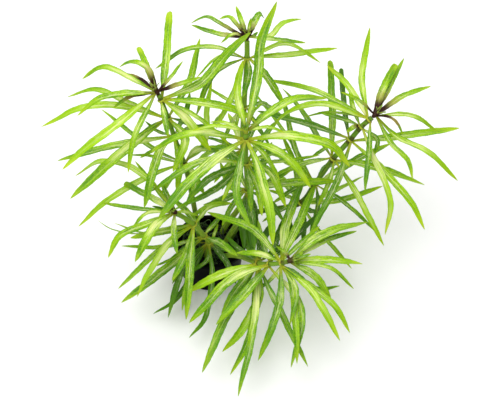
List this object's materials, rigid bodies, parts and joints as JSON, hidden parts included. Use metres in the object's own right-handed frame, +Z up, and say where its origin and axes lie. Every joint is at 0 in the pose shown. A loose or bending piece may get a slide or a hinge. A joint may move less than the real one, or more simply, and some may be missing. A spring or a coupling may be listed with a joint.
{
  "type": "potted aquarium plant",
  "caption": "Bushy bunch of leafy shoots with whorls of narrow arching leaves on upright stems, rooted in a small round black pot.",
  "frame": {"origin": "middle of the pot's flat underside, on the surface that it stands on", "axes": "+Z up the pot, +X to the right and -Y to the front as the plant is seen in the picture"},
  "size_m": [0.2694, 0.2145, 0.187],
  "materials": {
    "pot": "semi-gloss black moulded plastic",
    "medium": "dark damp mineral wool with roots",
    "stem": "smooth olive green herbaceous stem, purple-brown at the nodes",
    "leaf": "soft satin leaf with a pale middle groove",
    "crown": "young satin leaf, purple-brown towards the bud"
  },
  "bodies": {
    "root": {"pot": "pot", "growing_medium": "medium", "left_shoot_stem": "stem", "left_shoot_crown": "crown", "left_shoot_whorl_1": "leaf", "left_shoot_whorl_2": "leaf", "left_shoot_whorl_3": "leaf", "left_shoot_whorl_4": "leaf", "back_shoot_stem": "stem", "back_shoot_crown": "crown", "back_shoot_whorl_1": "leaf", "back_shoot_whorl_2": "leaf", "back_shoot_whorl_3": "leaf", "right_shoot_stem": "stem", "right_shoot_crown": "crown", "right_shoot_whorl_1": "leaf", "right_shoot_whorl_2": "leaf", "right_shoot_whorl_3": "leaf", "right_shoot_whorl_4": "leaf", "right_shoot_whorl_5": "leaf", "right_shoot_whorl_6": "leaf", "middle_shoot_stem": "stem", "middle_shoot_crown": "crown", "middle_shoot_whorl_1": "leaf", "middle_shoot_whorl_2": "leaf", "middle_shoot_whorl_3": "leaf", "front_shoot_stem": "stem", "front_shoot_crown": "crown", "front_shoot_whorl_1": "leaf", "front_shoot_whorl_2": "leaf", "front_shoot_whorl_3": "leaf", "front_left_shoot_stem": "stem", "front_left_shoot_crown": "crown", "front_left_shoot_whorl_1": "leaf", "front_left_shoot_whorl_2": "leaf", "front_left_shoot_whorl_3": "leaf"}
  },
  "joints": []
}
